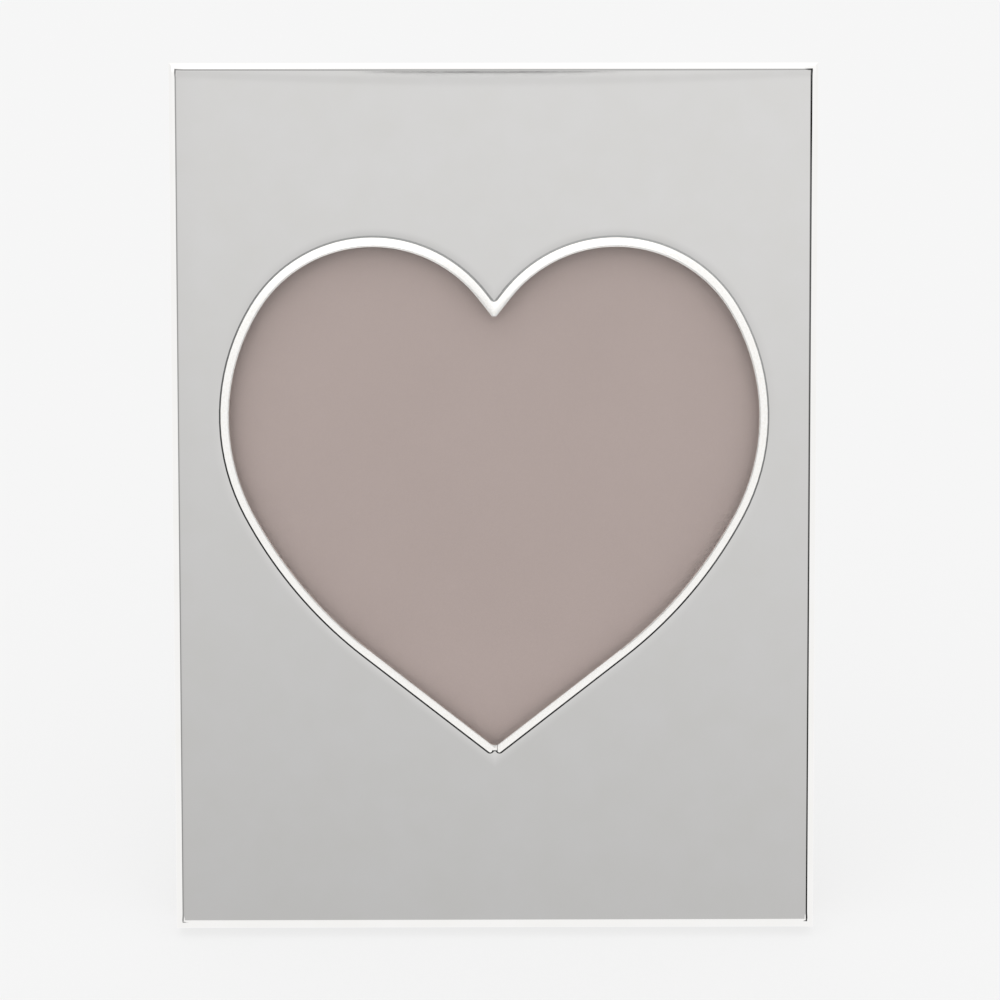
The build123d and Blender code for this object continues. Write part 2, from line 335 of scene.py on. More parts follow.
def stepIn(steps):
    # insets the selected face ring by ring: how far in, and how far forward
    for inset, forward in steps:
        bpy.ops.mesh.inset(thickness=inset, depth=forward, use_even_offset=True)


# Materials: metals

# Silver plate over nickel on buffed sheet: a mirror, with the faint haze that polishing leaves
plating = {
    "colour": "#F5F4F3",
    "warm": "#F3F2F0",
    "haze": 0.009,  # metres from cloud to cloud
    "hazeTones": (0.3, 0.7),  # where in the haze the colour turns from warm to cool
    "hairline": 0.003,
    "hairlineTurn": (0.3, 0.5, 0.7),
    "hairlineStretch": (1, 1, 9),
    "dullest": (0.1, 0.5),  # where in both of those the roughness runs from least to most
    "roughness": (0.012, 0.03),
}
platedSilver, tree, shader = newMaterial("SilverPlatedSheet", Metallic=1.0)
where = addNode(tree, "ShaderNodeTexCoord")
turned = addNode(tree, "ShaderNodeMapping", None, Vector=where.outputs["Object"],
                 Rotation=plating["hairlineTurn"], Scale=plating["hairlineStretch"])
haze = addNode(tree, "ShaderNodeTexNoise", None, Vector=where.outputs["Object"],
               Scale=1 / plating["haze"], Detail=4.0)
hairline = addNode(tree, "ShaderNodeTexNoise", None, Vector=turned.outputs[0],
                   Scale=1 / plating["hairline"], Detail=3.0)
both = addNode(tree, "ShaderNodeMath", {"operation": "MULTIPLY"},
               i0=haze.outputs[0], i1=hairline.outputs[0])
tone = addNode(tree, "ShaderNodeValToRGB",
               {"stops": [*zip(plating["hazeTones"], (plating["warm"], plating["colour"]))]},
               Fac=haze.outputs[0])
rough = addNode(tree, "ShaderNodeMapRange", None, Value=both.outputs[0],
                From_Min=plating["dullest"][0], From_Max=plating["dullest"][1],
                To_Min=plating["roughness"][0], To_Max=plating["roughness"][1])
tree.links.new(tone.outputs[0], shader.inputs["Base Color"])
tree.links.new(rough.outputs[0], shader.inputs["Roughness"])

# The strip round the heart: bright silver, satin from drawing, so it takes in the whole white room
drawing = {
    "colour": "#FAF9F7",
    "warm": "#F5F3EF",
    "grain": 0.0005,
    "tones": (0.35, 0.65),  # where in the grain the colour turns from warm to cool
    "dullest": (0.3, 0.7),  # where in the grain the roughness runs from least to most
    "roughness": (0.14, 0.22),
    "bump": 0.03,
    "bumpDepth": 0.00002,
}
drawnSilver, tree, shader = newMaterial("DrawnSilverStrip", Metallic=1.0)
where = addNode(tree, "ShaderNodeTexCoord")
grain = addNode(tree, "ShaderNodeTexNoise", None, Vector=where.outputs["Object"],
                Scale=1 / drawing["grain"], Detail=3.0)
tone = addNode(tree, "ShaderNodeValToRGB",
               {"stops": [*zip(drawing["tones"], (drawing["warm"], drawing["colour"]))]},
               Fac=grain.outputs[0])
rough = addNode(tree, "ShaderNodeMapRange", None, Value=grain.outputs[0],
                From_Min=drawing["dullest"][0], From_Max=drawing["dullest"][1],
                To_Min=drawing["roughness"][0], To_Max=drawing["roughness"][1])
bump = addNode(tree, "ShaderNodeBump", None, Strength=drawing["bump"],
               Distance=drawing["bumpDepth"], Height=grain.outputs[0])
tree.links.new(tone.outputs[0], shader.inputs["Base Color"])
tree.links.new(rough.outputs[0], shader.inputs["Roughness"])
tree.links.new(bump.outputs[0], shader.inputs["Normal"])

# Painted shade: a dark line in the seam round the strip, darker towards the bottom and the left
seamShade = {
    "dark": "#131517",
    "light": "#A9AAAA",
    "grain": 0.0004,
    "leftward": 0.3,  # how much lower the painted shade lightens on the left, for each metre across
    "wobble": 0.02,  # metres that the grain moves the change of tone up or down
    "heights": (0.1, 0.17),  # between these it turns from dark to light
}
# its colour is painted shade, darkest where the crease's shade is deepest
seamShadeMaterial, tree, shader = newMaterial("PaintedSeamShade", Roughness=0.75)
where = addNode(tree, "ShaderNodeTexCoord")
apart = addNode(tree, "ShaderNodeSeparateXYZ", None, Vector=where.outputs["Object"])
sloped = addNode(tree, "ShaderNodeMath", {"operation": "MULTIPLY_ADD"},
                 i0=apart.outputs["X"], i1=seamShade["leftward"], i2=apart.outputs["Z"])
grain = addNode(tree, "ShaderNodeTexNoise", None, Vector=where.outputs["Object"],
                Scale=1 / seamShade["grain"], Detail=2.0)
wobble = addNode(tree, "ShaderNodeMath", {"operation": "MULTIPLY_ADD"},
                 i0=grain.outputs[0], i1=seamShade["wobble"], i2=sloped.outputs[0])
height = addNode(tree, "ShaderNodeMapRange", None, Value=wobble.outputs[0],
                 From_Min=seamShade["heights"][0], From_Max=seamShade["heights"][1])
tone = addNode(tree, "ShaderNodeValToRGB",
               {"stops": [(0.0, seamShade["dark"]), (1.0, seamShade["light"])]}, Fac=height.outputs[0])
tree.links.new(tone.outputs[0], shader.inputs["Base Color"])


smallMetal = {
    "grain": 0.0003,
    "clouds": 260.0,  # of the stain, in each metre
    "tones": (0.35, 0.62),  # where in a cloud the stain turns to the clean colour
    "dullest": (0.3, 0.7),  # where in the grain the roughness runs from least to most
    "bump": 0.12,
    "bumpDepth": 0.00004,
}


def hardware(name, colour, stain, roughness, stretch=(1, 1, 1)):
    # small metal parts: a fine grain, drawn out where the metal was drawn, under a cloudy stain
    material, tree, shader = newMaterial(name, Metallic=1.0)
    where = addNode(tree, "ShaderNodeTexCoord")
    drawn = addNode(tree, "ShaderNodeMapping", None, Vector=where.outputs["Object"], Scale=stretch)
    grain = addNode(tree, "ShaderNodeTexNoise", None, Vector=drawn.outputs[0],
                    Scale=1 / smallMetal["grain"], Detail=4.0)
    cloud = addNode(tree, "ShaderNodeTexNoise", None, Vector=where.outputs["Object"],
                    Scale=smallMetal["clouds"], Detail=3.0)
    tone = addNode(tree, "ShaderNodeValToRGB",
                   {"stops": [*zip(smallMetal["tones"], (stain, colour))]}, Fac=cloud.outputs[0])
    rough = addNode(tree, "ShaderNodeMapRange", None, Value=grain.outputs[0],
                    From_Min=smallMetal["dullest"][0], From_Max=smallMetal["dullest"][1],
                    To_Min=roughness[0], To_Max=roughness[1])
    bump = addNode(tree, "ShaderNodeBump", None, Strength=smallMetal["bump"],
                   Distance=smallMetal["bumpDepth"], Height=grain.outputs[0])
    tree.links.new(tone.outputs[0], shader.inputs["Base Color"])
    tree.links.new(rough.outputs[0], shader.inputs["Roughness"])
    tree.links.new(bump.outputs[0], shader.inputs["Normal"])
    return material


# Buttons in zinc-plated pressed steel, hinge in warmer nickel plate, plain bright wire and wafers
zincSteel = hardware("ZincPlatedPressedSteel", "#C9C7C2", "#AFAEA8", roughness=(0.24, 0.4))
nickelSteel = hardware("NickelPlatedHingeSteel", "#C2BBB0", "#ABA49A", roughness=(0.16, 0.3),
                       stretch=(0.15, 1, 1))
rivetSteel = hardware("TurnedRivetSteel", "#BDBAB4", "#A19E98", roughness=(0.2, 0.34))
screwSteel = hardware("YellowZincScrewSteel", "#CFC9B4", "#B4AE9A", roughness=(0.2, 0.36))
waferSteel = hardware("ColdRolledWaferSteel", "#9A9A9A", "#7C7B78", roughness=(0.3, 0.5),
                      stretch=(1, 1, 0.2))


# Materials: glass, card, boards and flock

# Float glass, 2 mm: too thin and clear to tint or bend what is behind it, so only its reflection,
# strongest at a slant, and a little cleaning haze lie over the print
glazing = {
    "colour": "#F6FBF9",
    "straightOn": 0.04,  # the share that each side of plain glass sends back, seen straight on
    "grazing": 5.0,  # the power by which that share grows towards a grazing view
    "haze": 0.02,
    "dullest": (0.45, 0.8),  # where in the haze the roughness runs from least to most
    "roughness": (0.0, 0.012),
}
floatGlass, tree, shader = newMaterial("FloatGlass", Metallic=1.0, Base_Color=glazing["colour"])
slant = addNode(tree, "ShaderNodeLayerWeight", None, Blend=0.5)
grazing = addNode(tree, "ShaderNodeMath", {"operation": "POWER"},
                  i0=slant.outputs["Facing"], i1=glazing["grazing"])
sentBack = addNode(tree, "ShaderNodeMath", {"operation": "MULTIPLY_ADD"}, i0=grazing.outputs[0],
                   i1=1 - glazing["straightOn"], i2=glazing["straightOn"])
tree.links.new(sentBack.outputs[0], shader.inputs["Alpha"])
where = addNode(tree, "ShaderNodeTexCoord")
haze = addNode(tree, "ShaderNodeTexNoise", None, Vector=where.outputs["Object"],
               Scale=1 / glazing["haze"], Detail=4.0)
rough = addNode(tree, "ShaderNodeMapRange", None, Value=haze.outputs[0],
                From_Min=glazing["dullest"][0], From_Max=glazing["dullest"][1],
                To_Min=glazing["roughness"][0], To_Max=glazing["roughness"][1])
tree.links.new(rough.outputs[0], shader.inputs["Roughness"])

boards = {
    "cloud": 0.03,
    "cloudShare": 0.35,
    "tones": (0.45, 0.85),  # where in fibres and clouds together the fleck turns to the colour
    "bump": 0.4,
}


def fibreBoard(name, colour, fleck, fibreSize, roughness, bumpDepth):
    # card and boards: fine fibres in two tones, under a slow change of tone
    material, tree, shader = newMaterial(name, Roughness=roughness)
    where = addNode(tree, "ShaderNodeTexCoord")
    cloud = addNode(tree, "ShaderNodeTexNoise", None, Vector=where.outputs["Object"],
                    Scale=1 / boards["cloud"], Detail=3.0)
    fibre = addNode(tree, "ShaderNodeTexNoise", None, Vector=where.outputs["Object"],
                    Scale=1 / fibreSize, Detail=6.0, Roughness=0.7)
    both = addNode(tree, "ShaderNodeMath", {"operation": "MULTIPLY_ADD"},
                   i0=cloud.outputs[0], i1=boards["cloudShare"], i2=fibre.outputs[0])
    tone = addNode(tree, "ShaderNodeValToRGB", {"stops": [*zip(boards["tones"], (fleck, colour))]},
                   Fac=both.outputs[0])
    bump = addNode(tree, "ShaderNodeBump", None, Strength=boards["bump"], Distance=bumpDepth,
                   Height=fibre.outputs[0])
    tree.links.new(tone.outputs[0], shader.inputs["Base Color"])
    tree.links.new(bump.outputs[0], shader.inputs["Normal"])
    return material


# Uncoated taupe card, brown boards with their fibres showing, and the paler corrugated card
insertCard = fibreBoard("UncoatedInsertCard", "#B7A7A2", "#B2A29D",
                        fibreSize=0.0004, roughness=0.9, bumpDepth=0.00001)
coreBoard = fibreBoard("MediumDensityFibreboard", "#B0916B", "#8F7150",
                       fibreSize=0.0009, roughness=0.85, bumpDepth=0.00006)
hardBoard = fibreBoard("PressedHardboard", "#6F5138", "#563C28",
                       fibreSize=0.0008, roughness=0.7, bumpDepth=0.00004)
spacerCard = fibreBoard("CorrugatedSpacerCard", "#B59B78", "#9C8361",
                        fibreSize=0.0012, roughness=0.9, bumpDepth=0.00006)
strutBoard = fibreBoard("StrutFibreboard", "#A58763", "#84684A",
                        fibreSize=0.0009, roughness=0.85, bumpDepth=0.00006)

# Nylon flock on paper: deep black, its short upright fibres brushed lighter in soft streaks
flocking = {
    "deep": "#0E0E10",
    "raised": "#1F1F22",
    "fibre": 0.0005,
    "brush": 0.018,
    "brushTurn": (0, 0.35, 0),
    "brushStretch": (1, 1, 0.35),
    "brushShare": 0.9,
    "tones": (0.7, 0.96),  # where in fibres and streaks together deep turns to raised
    "sheen": 0.6,
    "bump": 0.7,
    "bumpDepth": 0.00015,
}
blackFlock, tree, shader = newMaterial("BlackNylonFlock", Roughness=0.95, Sheen_Roughness=0.45,
                                       Sheen_Weight=flocking["sheen"], Specular_IOR_Level=0.15)
where = addNode(tree, "ShaderNodeTexCoord")
brushed = addNode(tree, "ShaderNodeMapping", None, Vector=where.outputs["Object"],
                  Rotation=flocking["brushTurn"], Scale=flocking["brushStretch"])
brush = addNode(tree, "ShaderNodeTexNoise", None, Vector=brushed.outputs[0],
                Scale=1 / flocking["brush"], Detail=3.0, Distortion=0.6)
fibre = addNode(tree, "ShaderNodeTexNoise", None, Vector=where.outputs["Object"],
                Scale=1 / flocking["fibre"], Detail=4.0, Roughness=0.8)
both = addNode(tree, "ShaderNodeMath", {"operation": "MULTIPLY_ADD"},
               i0=brush.outputs[0], i1=flocking["brushShare"], i2=fibre.outputs[0])
tone = addNode(tree, "ShaderNodeValToRGB",
               {"stops": [*zip(flocking["tones"], (flocking["deep"], flocking["raised"]))]},
               Fac=both.outputs[0])
bump = addNode(tree, "ShaderNodeBump", None, Strength=flocking["bump"],
               Distance=flocking["bumpDepth"], Height=fibre.outputs[0])
tree.links.new(tone.outputs[0], shader.inputs["Base Color"])
tree.links.new(bump.outputs[0], shader.inputs["Normal"])
print("materials made")


# The pieces that come over from CAD

dressed = {
    floatGlass: ["glass_pane"],
    insertCard: ["print_insert"],
    spacerCard: ["spacer_card"],
    hardBoard: ["back_board"],
    coreBoard: ["rail_bottom", "rail_right", "rail_top", "rail_left"],
    strutBoard: ["strut_board"],
    waferSteel: ["corner_nails"],
    zincSteel: ["turn_button_lower_left", "turn_button_upper_left",
                "turn_button_lower_right", "turn_button_upper_right"],
    screwSteel: ["turn_button_screws"],
    nickelSteel: ["hinge_board_leaf", "hinge_strut_leaf", "hinge_pin"],
    rivetSteel: ["hinge_board_rivets", "hinge_strut_rivets"],
}
for material, names in dressed.items():
    for name in names:
        nodes[name].data.materials.clear()
        nodes[name].data.materials.append(material)
print("carried-over pieces dressed")


# Plated face: a pressed tray, flat across, rolled at its edges, with a slight dip at the heart

plate = {
    "width": 0.150,
    "height": 0.202,
    "depth": 0.011,
    "sheet": 0.0008,
    "dipReach": 0.0025,  # how far outside the strip the sheet starts to dip
    "dipTilts": (0.0, 0.8, 1.7, 2.7, 3.8, 5.0, 6.4, 8.0, 9.5),  # degrees, ring by ring inwards
    "openingInset": 0.00075,
    "flatRim": 0.0003,  # flat rings that keep the bends from showing in the flat mirror
    "easedRim": 0.00024,
    "easeTilts": (1.2, 2.4),
    "rollRadius": 0.0015,
    "rollParts": 9,
    "cornerTurn": 0.0038,  # how near its edges the face is cut across
    "smooth": 30,
}
dipStep = plate["dipReach"] / (len(plate["dipTilts"]) - 1)
dip = [(dipStep, -dipStep * math.tan(math.radians(tilt))) for tilt in plate["dipTilts"][:-1]]
stripSeat = -sum(forward for _, forward in dip)  # how deep the sheet lies where the strip starts
lastTilt = math.tan(math.radians(plate["dipTilts"][-1]))
dip.append((plate["openingInset"], -plate["openingInset"] * lastTilt))

# rings of the rolled edge: how far out and how far back
rim = [(plate["flatRim"], 0.0)]
for tilt in plate["easeTilts"]:
    rim.append((plate["easedRim"] * math.cos(math.radians(tilt)),
                plate["easedRim"] * math.sin(math.radians(tilt))))
eased = plate["easeTilts"][-1]
tilts = [math.radians(eased + (90 - eased) * i / plate["rollParts"])
         for i in range(plate["rollParts"] + 1)]
for tilt, after in zip(tilts, tilts[1:]):
    rim.append((plate["rollRadius"] * (math.sin(after) - math.sin(tilt)),
                plate["rollRadius"] * (math.cos(tilt) - math.cos(after))))
halfWidth = plate["width"] / 2 - sum(out for out, _ in rim)
halfHeight = plate["height"] / 2 - sum(out for out, _ in rim)
rimDepth = sum(back for _, back in rim)
middle = Vector((0, 0, plate["height"] / 2))


def pickFlatRim():
    # the open edges that lie in the flat of the face
    unshared = openEdges(face)
    pick(face, "EDGE", lambda edge: edge.index in unshared
         and max(v.y for v in ends(face, edge)) < near)


face = loopOf(heartHalf(-plate["dipReach"]), 0)
fillForward(face)
stepIn(dip)
push(plate["sheet"] + sum(forward for _, forward in dip))
bpy.ops.mesh.delete(type="FACE")
leave()
bpy.ops.object.select_all(action="DESELECT")
bpy.ops.mesh.primitive_plane_add(size=1, rotation=(math.radians(90), 0, 0), location=middle)
edging = bpy.context.object
edging.scale = (2 * halfWidth, 2 * halfHeight, 1)
bpy.ops.object.transform_apply(location=True, rotation=True, scale=True)
pick(edging, "FACE", everything)
bpy.ops.mesh.delete(type="ONLY_FACE")
leave()
edging.select_set(True)
face.select_set(True)
bpy.context.view_layer.objects.active = face
bpy.ops.object.join()
pickFlatRim()
bpy.ops.mesh.fill(use_beauty=True)
leave()
pickFlatRim()
width, height = halfWidth, halfHeight
wall = [(0.0, plate["depth"] - rimDepth), (-plate["sheet"], 0.0),
        (0.0, plate["sheet"] - plate["depth"])]
for out, back in rim + wall:
    bpy.ops.mesh.extrude_edges_move(TRANSFORM_OT_translate={"value": (0, back, 0)})
    growth = ((width + out) / width, 1, (height + out) / height)
    bpy.ops.transform.resize(value=growth, center_override=middle)
    width += out
    height += out
leave()
unshared = openEdges(face)
pick(face, "EDGE", lambda edge: edge.index in unshared)
bpy.ops.mesh.fill(use_beauty=True)
leave()
closeUp(face)
# cut across near each edge, so that the shine turns from one roll to the next only at the corners
for centre, half, facing in ((0, plate["width"] / 2, Vector((1, 0, 0))),
                             (plate["height"] / 2, plate["height"] / 2, Vector((0, 0, 1)))):
    for place in (centre - half + plate["cornerTurn"], centre + half - plate["cornerTurn"]):
        pick(face, "FACE", everything)
        bpy.ops.mesh.bisect(plane_co=facing * place, plane_no=facing)
        leave()
settle(face, "plated_face", platedSilver, leaning, "frame", plate["smooth"],
       ["face_plate"])


# Strip round the heart: its front slopes outwards, its edges are rubbed round, and its two ends
# meet beside the small notch at the bottom point

strip = {
    "width": 0.00197,
    "droop": 0.0002,  # how much wider it is over the lobes, and narrower below
    "wall": 0.00105,  # height of the outer wall above the flat face
    "outerRound": ((0.00005, 0.00014), (0.00009, 0.00010), (0.00012, 0.00006)),
    "frontTilts": (14.0, 12.0, 11.0, 10.0, 9.0, 8.0),  # degrees, ring by ring inwards
    "innerRound": ((0.00004, -0.00001), (0.00004, -0.00005)),
    "lap": 0.0008,  # how much of it lies over the sheet
    "seam": 0.00012,
    "seamPlace": 0.0006,  # how far right of the middle its two ends meet
    "clear": 0.005,  # how far the cutting shapes reach past it
    "bends": (0.0013, 0.0013),  # outside the notch, inside the bottom point
    "bendParts": 6,
    "blunt": 0.0006,  # how much of the sharp point inside the notch is taken off
    "outerWalls": (0.001, 0.002),  # the outer wall's height is between these, the inner's above
    "onAxis": 0.00001,  # how near the middle an edge has to stand
    "backCorners": 8,  # only the face that closes its back has more
    "merges": (0.00003, 0.00001),  # once it is closed, and once it is cut
    "smooth": 32,
}
rounds = strip["outerRound"] + strip["innerRound"]
frontStep = (strip["width"] - sum(inset for inset, _ in rounds)) / len(strip["frontTilts"])
front = tuple((frontStep, frontStep * math.tan(math.radians(tilt))) for tilt in strip["frontTilts"])
crown = strip["outerRound"] + front + strip["innerRound"]
crownTop = strip["wall"] + sum(forward for _, forward in crown)
band = loopOf(heartHalf(0), stripSeat)
fillForward(band)
push(-strip["wall"] - stripSeat)
for ring in crown:
    stepIn([ring])
    bpy.ops.transform.translate(value=(0, 0, -strip["droop"] / len(crown)))
push(crownTop + plate["sheet"])
bpy.ops.mesh.delete(type="FACE")
leave()
pick(band, "FACE", lambda part: len(part.vertices) > strip["backCorners"])
bpy.ops.mesh.inset(thickness=strip["lap"], depth=0, use_even_offset=True)
push(plate["sheet"] - stripSeat)
bpy.ops.mesh.inset(thickness=strip["width"] - strip["lap"], depth=0, use_even_offset=True)
bpy.ops.transform.translate(value=(0, 0, -strip["droop"]))
bpy.ops.mesh.delete(type="FACE")
leave()
closeUp(band, strip["merges"][0])
print("strip closed, open edges", len(openEdges(band)))


def bendWall(atNotch, reach):
    # rounds off an upright edge of a wall, outside the notch or inside the bottom point
    def onWall(edge):
        first, last = ends(band, edge)
        lowest, highest = strip["outerWalls"]
        tall = depthOf(band, edge)
        fits = lowest < tall < highest if atNotch else tall > highest
        inMiddle = max(abs(first.x), abs(last.x)) < strip["onAxis"]
        return fits and inMiddle and (first.z > heart["middle"]) == atNotch
    pick(band, "EDGE", onWall)
    bpy.ops.mesh.bevel(offset=reach, segments=strip["bendParts"], affect="EDGES")
    leave()


bendWall(True, strip["bends"][0])
bendWall(False, strip["bends"][1])
notchPoint = min(vertex.co.z for vertex in band.data.vertices
                 if abs(vertex.co.x) < strip["onAxis"] and vertex.co.z > heart["middle"])
cut(band, block((-strip["clear"] / 2, -strip["clear"], notchPoint - strip["clear"] / 2),
                (strip["clear"] / 2, strip["clear"], notchPoint + strip["blunt"])))
print("strip bent, open edges", len(openEdges(band)))

gap = loopOf([sharp(Vector((footEnd(0)[0][0].x, bare[-1][0].y - heart["gapHeight"])))] + footEnd(0),
             -strip["clear"])
fillForward(gap)
push(2 * strip["clear"])
leave()
closeUp(gap)
cut(band, gap)
seamLeft = strip["seamPlace"] - strip["seam"] / 2
cut(band, block((seamLeft, -strip["clear"], heartTip - strip["clear"]),
                (seamLeft + strip["seam"], strip["clear"], heartTip + 2 * strip["clear"])))
closeUp(band, strip["merges"][1])
settle(band, "heart_strip", drawnSilver, leaning, "frame", strip["smooth"],
       ["heart_trim"])


# The dark line of painted shade in the corner round the strip

line = {
    "width": 0.00052,
    "hidden": 0.0003,  # how far it runs on under the strip
    "lift": 0.000015,
    "thickness": 0.00003,
    "smooth": 30,
}
fall = line["width"] * math.tan(math.radians(plate["dipTilts"][-2]))
trace = loopOf(footedHalf(-line["width"]), stripSeat - fall - line["lift"])
fillForward(trace)
stepIn([(line["width"], -fall), (line["hidden"], 0)])
bpy.ops.mesh.delete(type="FACE")
leave()
applied(trace, "SOLIDIFY", thickness=line["thickness"], offset=-1)
# the line is painted shade, laid as a thin dark sheet in the crease
settle(trace, "painted_seam_shade", seamShadeMaterial, leaning, "frame", line["smooth"])


# Flocked sheet on the back board

cover = {
    "halfWidth": 0.0635,
    "low": 0.012,
    "high": 0.190,
    "front": 0.0097,
    "rear": 0.01038,
    "edge": 0.0003,
    "edgeParts": 3,
    "smooth": 40,
}
pile = block((-cover["halfWidth"], cover["front"], cover["low"]),
             (cover["halfWidth"], cover["rear"], cover["high"]))
pick(pile, "EDGE", lambda edge: min(v.y for v in ends(pile, edge)) > cover["rear"] - near)
bpy.ops.mesh.bevel(offset=cover["edge"], segments=cover["edgeParts"], affect="EDGES")
leave()
settle(pile, "flocked_back", blackFlock, leaning, "frame", cover["smooth"],
       ["back_cover"])


# Flocked strut: a tapered board in a turned-over sleeve, its foot cut level with the table

sleeve = {
    "top": 0.12165,
    "foot": -0.0043,
    "front": 0.0115,
    "rear": 0.0155,
    "halfTop": 0.019,
    "halfFoot": 0.029,
    "through": 0.001,  # an edge that runs further back than this goes through the board
    "along": 0.0001,  # and one that runs less far back than this lies along it
    "corner": 0.004,
    "cornerParts": 8,
    "edge": 0.0009,
    "edgeParts": 4,
    "smooth": 40,
}
strut = block((-sleeve["halfFoot"], sleeve["front"], sleeve["foot"]),
              (sleeve["halfFoot"], sleeve["rear"], sleeve["top"]))
pick(strut, "VERT", lambda vertex: vertex.co.z > sleeve["top"] - near)
bpy.ops.transform.resize(value=(sleeve["halfTop"] / sleeve["halfFoot"], 1, 1),
                         center_override=(0, sleeve["front"], sleeve["top"]))
leave()
pick(strut, "EDGE", lambda edge: depthOf(strut, edge) > sleeve["through"]
     and min(v.z for v in ends(strut, edge)) > sleeve["top"] - near)
bpy.ops.mesh.bevel(offset=sleeve["corner"], segments=sleeve["cornerParts"], affect="EDGES")
leave()
pick(strut, "EDGE", lambda edge: depthOf(strut, edge) < sleeve["along"]
     and max(v.z for v in ends(strut, edge)) > sleeve["foot"] + near)
bpy.ops.mesh.bevel(offset=sleeve["edge"], segments=sleeve["edgeParts"], affect="EDGES")
leave()
toStrut = opened.inverted()
ground = toStrut @ Vector((0, 0, 0))
pick(strut, "FACE", everything)
bpy.ops.mesh.bisect(plane_co=ground, plane_no=toStrut.to_3x3() @ Vector((0, 0, 1)),
                    clear_inner=True, use_fill=True)
leave()
settle(strut, "flocked_strut", blackFlock, opened, "strut", sleeve["smooth"],
       ["strut_cover"])
print("pieces modelled")


# Studio: a plain pale floor, a white room with a soft grey card in front, and one broad soft lamp

studio = {
    "ground": 0.94,  # what the camera sees behind the frame
    "floorGlow": 0.75,  # how much of what the camera sees of the floor is that even ground
    "floor": "#E0E0E0",
    "floorFleck": "#E2E2E2",
    "floorFlecks": 900.0,  # in each metre
    "floorTones": (0.3, 0.7),
    "floorRadius": 30,
    "room": 1.0,
    "ceiling": 1.15,
    "ceilingFrom": (0.2, 0.9),  # how far up the room turns into the ceiling, 1 being straight up
    "lamp": 0.25,
    # from here on every angle is in degrees: how broad, high and far round the lamp stands, and
    # the grey card's heights above the horizon and ways across, to the right of straight ahead
    "lampAngle": 60.0,
    "lampHeight": 57.0,
    "lampTurn": -22.0,
    # the grey card's shade by its height, and the share of it that is left on its right border
    "shades": ((-2.5, 0.565), (9.0, 0.675), (16.5, 0.745), (21.2, 0.765)),
    "rightShades": ((-3.0, 0.02), (6.0, 0.06), (13.0, 0.16), (17.0, 0.14), (18.4, 0.0),
                    (20.0, 0.08)),
    "rampSpan": (-5.0, 25.0),  # the heights between which those two run
    "rightBorder": (9.2, 9.9),
    # where the card reaches lower at its sides, and by how much, and where higher at its corners
    "sides": (9.15, 9.5),
    "sideDrop": 4.0,
    "corners": (6.6, 8.2),
    "cornerRise": 0.09,
    # what bounds the card: it starts at the first angle and is full at the second
    "bounds": (("across", -15.0, -14.5), ("across", 15.0, 14.5), ("lowered", -2.62, -2.52),
               ("up", 23.5, 23.0)),
    # what darkens it: to what share, and from the first angle to the second
    "borders": ((0.957, "across", 9.0, -8.0), (0.955, "across", -7.9, -9.0),
                (0.55, "across", -9.8, -10.5), (0.85, "lowered", -2.42, -2.48),
                (0.6, "up", 20.55, 20.8)),
    # and small patches of it: a thin dark rail near the top, and a faint band under it
    "patches": ((0.12, ("up", 19.99, 20.0), ("up", 20.07, 20.06), ("across", -3.9, -2.9),
                 ("across", 4.2, 2.4)),
                (0.93, ("up", 19.64, 19.72), ("up", 19.9, 19.84))),
}
world = bpy.data.worlds.new("studio")
bpy.context.scene.world = world
world.use_nodes = True
tree = world.node_tree
tree.nodes.clear()
where = addNode(tree, "ShaderNodeTexCoord")
way = addNode(tree, "ShaderNodeVectorMath", {"operation": "NORMALIZE"},
              i0=where.outputs["Generated"])
apart = addNode(tree, "ShaderNodeSeparateXYZ", None, i0=way.outputs[0])
forward = addNode(tree, "ShaderNodeMath", {"operation": "MULTIPLY"}, i0=apart.outputs["Y"], i1=-1.0)
turn = addNode(tree, "ShaderNodeMath", {"operation": "ARCTAN2"},
               i0=apart.outputs["X"], i1=forward.outputs[0])
climb = addNode(tree, "ShaderNodeMath", {"operation": "ARCSINE"}, i0=apart.outputs["Z"])
across = addNode(tree, "ShaderNodeMath", {"operation": "DEGREES"}, i0=turn.outputs[0])
up = addNode(tree, "ShaderNodeMath", {"operation": "DEGREES"}, i0=climb.outputs[0])
aside = addNode(tree, "ShaderNodeMath", {"operation": "ABSOLUTE"}, i0=across.outputs[0])
lowered = up
for span, reach in ((studio["sides"], studio["sideDrop"]),
                    (studio["corners"], -studio["cornerRise"])):
    moved = addNode(tree, "ShaderNodeMapRange", None, Value=aside.outputs[0],
                    From_Min=span[0], From_Max=span[1], To_Min=0.0, To_Max=reach)
    lowered = addNode(tree, "ShaderNodeMath", {"operation": "ADD"},
                      i0=lowered.outputs[0], i1=moved.outputs[0])
angles = {"across": across, "up": up, "lowered": lowered}


def product(parts):
    whole = parts[0]
    for part in parts[1:]:
        whole = addNode(tree, "ShaderNodeMath", {"operation": "MULTIPLY"},
                        i0=whole.outputs[0], i1=part.outputs[0])
    return whole


def within(limits):
    return product([addNode(tree, "ShaderNodeMapRange", None, Value=angles[angle].outputs[0],
                            From_Min=start, From_Max=full) for angle, start, full in limits])


def rampOf(name):
    # one of the two rows of shades, as a ramp over the heights that they run between
    low, high = studio["rampSpan"]
    stops = [((degrees - low) / (high - low), shade) for degrees, shade in studio[name]]
    height = within([("up", low, high)])
    return addNode(tree, "ShaderNodeValToRGB", {"stops": stops}, Fac=height.outputs[0])


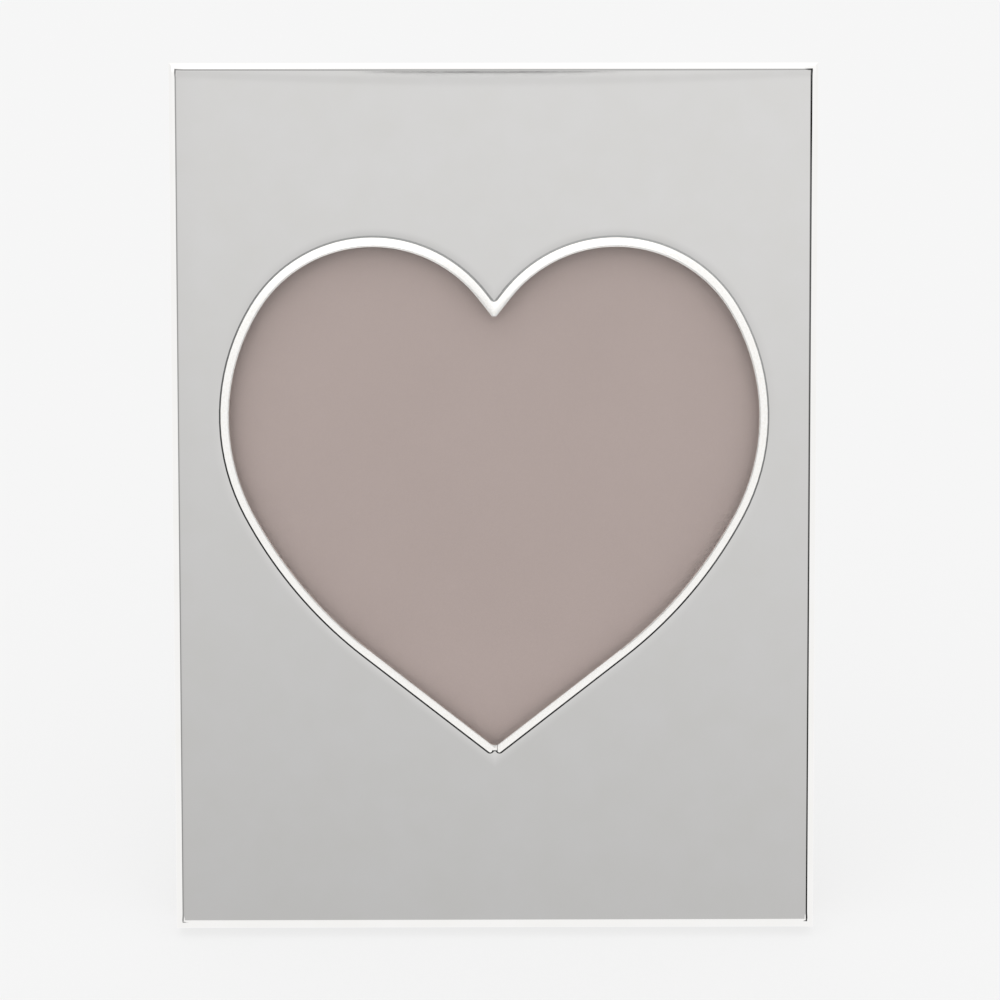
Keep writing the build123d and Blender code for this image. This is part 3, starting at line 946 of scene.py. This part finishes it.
card = within(studio["bounds"])
atRight = within([("across", *studio["rightBorder"])])
rightShare = addNode(tree, "ShaderNodeMix", {"data_type": "FLOAT"},
                     i0=atRight.outputs[0], i2=1.0, i3=rampOf("rightShades").outputs[0])
factors = [rampOf("shades"), rightShare]
for share, angle, start, full in studio["borders"]:
    factors.append(addNode(tree, "ShaderNodeMapRange", None, Value=angles[angle].outputs[0],
                           From_Min=start, From_Max=full, To_Min=1.0, To_Max=share))
for share, *limits in studio["patches"]:
    factors.append(addNode(tree, "ShaderNodeMath", {"operation": "MULTIPLY_ADD"},
                           i0=within(limits).outputs[0], i1=share - 1, i2=1.0))
shaded = product(factors)
room = addNode(tree, "ShaderNodeMapRange", None, Value=apart.outputs["Z"],
               From_Min=studio["ceilingFrom"][0], From_Max=studio["ceilingFrom"][1],
               To_Min=studio["room"], To_Max=studio["ceiling"])
shown = addNode(tree, "ShaderNodeMix", {"data_type": "FLOAT"},
                i0=card.outputs[0], i2=room.outputs[0], i3=shaded.outputs[0])
ray = addNode(tree, "ShaderNodeLightPath")
strength = addNode(tree, "ShaderNodeMix", {"data_type": "FLOAT"},
                   i0=ray.outputs["Is Camera Ray"], i2=shown.outputs[0], i3=studio["ground"])
light = addNode(tree, "ShaderNodeBackground", None, Color=(1, 1, 1, 1),
                Strength=strength.outputs[0])
addNode(tree, "ShaderNodeOutputWorld", None, Surface=light.outputs[0])

bpy.ops.object.light_add(type="SUN")
lamp = bpy.context.object
lamp.name = "softLamp"
lamp.data.energy = studio["lamp"]
lamp.data.angle = math.radians(studio["lampAngle"])
lamp.rotation_euler = (math.radians(90 - studio["lampHeight"]), 0, math.radians(studio["lampTurn"]))

bpy.ops.mesh.primitive_circle_add(vertices=64, radius=studio["floorRadius"], fill_type="NGON")
floor = bpy.context.object
floor.name = "floor"
# matt paper off a wide roll, so pale and fine that its grain hardly shows
paper, tree, shader = newMaterial("SeamlessStudioPaper", Roughness=0.95, Specular_IOR_Level=0.0)
where = addNode(tree, "ShaderNodeTexCoord")
grain = addNode(tree, "ShaderNodeTexNoise", None, Vector=where.outputs["Object"],
                Scale=studio["floorFlecks"])
tone = addNode(tree, "ShaderNodeValToRGB",
               {"stops": [*zip(studio["floorTones"], (studio["floor"], studio["floorFleck"]))]},
               Fac=grain.outputs[0])
tree.links.new(tone.outputs[0], shader.inputs["Base Color"])
# to the camera the floor is mostly the same even ground as the wall, with a soft shadow left
glow = addNode(tree, "ShaderNodeEmission", None, Color=(1, 1, 1, 1), Strength=studio["ground"])
ray = addNode(tree, "ShaderNodeLightPath")
share = addNode(tree, "ShaderNodeMath", {"operation": "MULTIPLY"},
                i0=ray.outputs["Is Camera Ray"], i1=studio["floorGlow"])
mixed = addNode(tree, "ShaderNodeMixShader", None, Fac=share.outputs[0],
                i1=shader.outputs[0], i2=glow.outputs[0])
tree.links.new(mixed.outputs[0], tree.nodes["Material Output"].inputs["Surface"])
floor.data.materials.append(paper)
floor.visible_glossy = False  # mirrors show the room's own shades instead
bpy.context.scene.view_settings.view_transform = "Standard"
print("studio set")
